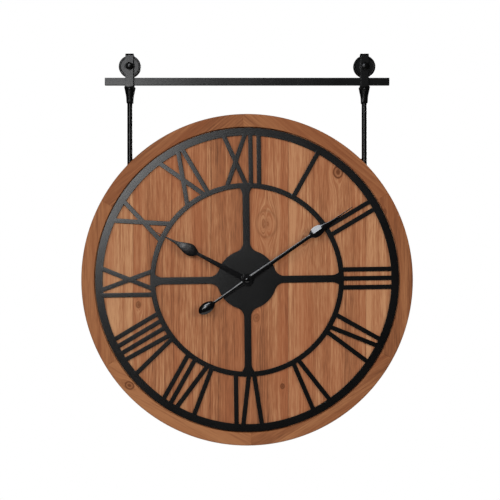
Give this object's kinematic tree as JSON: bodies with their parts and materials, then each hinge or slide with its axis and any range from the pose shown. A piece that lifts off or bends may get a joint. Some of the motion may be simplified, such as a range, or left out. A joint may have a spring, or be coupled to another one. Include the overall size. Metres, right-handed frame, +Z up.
{
  "type": "rail-hung wall clock",
  "caption": "Round plank wall clock with a cut steel Roman dial, hung from a wall rail by roller hangers and pivoting rods, with a quartz movement behind.",
  "frame": {"origin": "centre of the wall bar's back face, where it bears on the wall", "axes": "+Z up, -Y the way the dial faces, +X to the right as seen from the front"},
  "size_m": [0.6098, 0.0613, 0.7241],
  "materials": {
    "black_steel": "satin black powder coat",
    "dial_black": "satin black powder coat on laser-cut sheet",
    "hand_black": "gloss black enamel",
    "plank_fir": "stained fir planks, matt oil",
    "rim_fir": "stained fir segments, matt oil",
    "zinc_steel": "bright zinc plate",
    "brass": "turned",
    "copper_wire": "enamelled copper winding",
    "black_plastic": "moulded",
    "white_plastic": "moulded",
    "rubber": "matt",
    "board_green": "solder mask",
    "battery_wrap": "plain printed sleeve"
  },
  "bodies": {
    "rail": {"rail_bar": "black_steel", "wall_bar": "black_steel", "rail_standoff_left": "black_steel", "rail_standoff_right": "black_steel"},
    "hanger_left": {"hanger_strap_left": "black_steel", "axle_bolt_left": "black_steel", "axle_nut_left": "black_steel", "roller_washer_left_front": "black_steel", "roller_washer_left_back": "black_steel", "yoke_pin_left": "black_steel"},
    "roller_wheel_left": {"roller_left": "black_steel"},
    "rod_left": {"hanger_rod_left": "black_steel"},
    "hanger_right": {"hanger_strap_right": "black_steel", "axle_bolt_right": "black_steel", "axle_nut_right": "black_steel", "roller_washer_right_front": "black_steel", "roller_washer_right_back": "black_steel", "yoke_pin_right": "black_steel"},
    "roller_wheel_right": {"roller_right": "black_steel"},
    "rod_right": {"hanger_rod_right": "black_steel"},
    "clock_head": {"rim_segment_1": "rim_fir", "rim_segment_2": "rim_fir", "rim_segment_3": "rim_fir", "rim_segment_4": "rim_fir", "rim_segment_5": "rim_fir", "rim_segment_6": "rim_fir", "plank_1": "plank_fir", "plank_2": "plank_fir", "plank_3": "plank_fir", "plank_4": "plank_fir", "plank_5": "plank_fir", "dial_plate": "dial_black", "rod_bracket_left": "black_steel", "rod_bracket_right": "black_steel", "foot_screw_left": "black_steel", "foot_screw_right": "black_steel", "bracket_screw_left": "zinc_steel", "bracket_screw_right": "zinc_steel", "movement_case": "black_plastic", "movement_cover": "black_plastic", "case_gasket": "rubber", "bushing_washer": "brass", "bushing_nut": "brass", "stator": "zinc_steel", "drive_coil": "copper_wire", "circuit_board": "board_green", "battery": "battery_wrap", "contact_positive": "zinc_steel", "contact_negative": "zinc_steel"},
    "minute_work": {"minute_arbor": "brass", "minute_hand": "hand_black", "hand_cap_nut": "hand_black"},
    "hour_work": {"hour_wheel": "brass", "hour_hand": "hand_black"},
    "motion_work": {"motion_wheel": "white_plastic"},
    "third_work": {"third_wheel": "brass"},
    "fourth_work": {"fourth_wheel": "brass"},
    "fifth_work": {"fifth_wheel": "brass"},
    "rotor_work": {"stepper_rotor": "black_plastic"},
    "knob_work": {"setting_knob": "white_plastic"}
  },
  "joints": [
    {"name": "hanger_left_travel", "type": "slide", "parent": "rail", "child": "hanger_left", "axis": [1, 0, 0], "range_m": [-0.025, 0.025]},
    {"name": "hanger_right_travel", "type": "slide", "parent": "rail", "child": "hanger_right", "axis": [1, 0, 0], "range_m": [-0.025, 0.025]},
    {"name": "roller_left_spin", "type": "hinge", "parent": "hanger_left", "child": "roller_wheel_left", "pos_m": [-0.218, -0.018, 0.0257], "axis": [0, 1, 0], "range_deg": [-72, 72]},
    {"name": "roller_right_spin", "type": "hinge", "parent": "hanger_right", "child": "roller_wheel_right", "pos_m": [0.218, -0.018, 0.0257], "axis": [0, 1, 0], "range_deg": [-72, 72]},
    {"name": "rod_left_swing", "type": "hinge", "parent": "hanger_left", "child": "rod_left", "pos_m": [-0.218, -0.018, -0.0165], "axis": [0, 1, 0], "range_deg": [-10, 10]},
    {"name": "rod_right_swing", "type": "hinge", "parent": "hanger_right", "child": "rod_right", "pos_m": [0.218, -0.018, -0.0165], "axis": [0, 1, 0], "range_deg": [-10, 10]},
    {"name": "head_swing", "type": "hinge", "parent": "rod_left", "child": "clock_head", "pos_m": [-0.218, -0.018, -0.1758], "axis": [0, 1, 0], "range_deg": [-10, 10]},
    {"name": "minute_spin", "type": "hinge", "parent": "clock_head", "child": "minute_work", "pos_m": [0, -0.04, -0.3698], "axis": [0, 1, 0], "continuous": true},
    {"name": "hour_spin", "type": "hinge", "parent": "clock_head", "child": "hour_work", "pos_m": [0, -0.04, -0.3698], "axis": [0, 1, 0], "continuous": true},
    {"name": "motion_spin", "type": "hinge", "parent": "clock_head", "child": "motion_work", "pos_m": [-0.00799, -0.021, -0.36378], "axis": [0, 1, 0], "continuous": true},
    {"name": "third_spin", "type": "hinge", "parent": "clock_head", "child": "third_work", "pos_m": [0.00906, -0.018, -0.36392], "axis": [0, 1, 0], "continuous": true},
    {"name": "fourth_spin", "type": "hinge", "parent": "clock_head", "child": "fourth_work", "pos_m": [0.00773, -0.018, -0.35638], "axis": [0, 1, 0], "continuous": true},
    {"name": "fifth_spin", "type": "hinge", "parent": "clock_head", "child": "fifth_work", "pos_m": [0.00096, -0.018, -0.35392], "axis": [0, 1, 0], "continuous": true},
    {"name": "rotor_spin", "type": "hinge", "parent": "clock_head", "child": "rotor_work", "pos_m": [-0.00421, -0.018, -0.35483], "axis": [0, 1, 0], "continuous": true},
    {"name": "knob_spin", "type": "hinge", "parent": "clock_head", "child": "knob_work", "pos_m": [-0.014, -0.015, -0.3558], "axis": [0, 1, 0], "continuous": true}
  ],
  "couplings": [
    {"joint": "hanger_right_travel", "follows": "hanger_left_travel", "ratio": 1},
    {"joint": "roller_left_spin", "follows": "hanger_left_travel", "rad_per_m": 49.02},
    {"joint": "roller_right_spin", "follows": "hanger_left_travel", "rad_per_m": 49.02},
    {"joint": "rod_right_swing", "follows": "rod_left_swing", "ratio": 1},
    {"joint": "head_swing", "follows": "rod_left_swing", "ratio": -1},
    {"joint": "hour_spin", "follows": "minute_spin", "ratio": 0.083333},
    {"joint": "motion_spin", "follows": "minute_spin", "ratio": -0.33333},
    {"joint": "third_spin", "follows": "minute_spin", "ratio": -8},
    {"joint": "fourth_spin", "follows": "minute_spin", "ratio": 60},
    {"joint": "fifth_spin", "follows": "minute_spin", "ratio": -300},
    {"joint": "rotor_spin", "follows": "minute_spin", "ratio": 1800},
    {"joint": "knob_spin", "follows": "minute_spin", "ratio": 1}
  ]
}
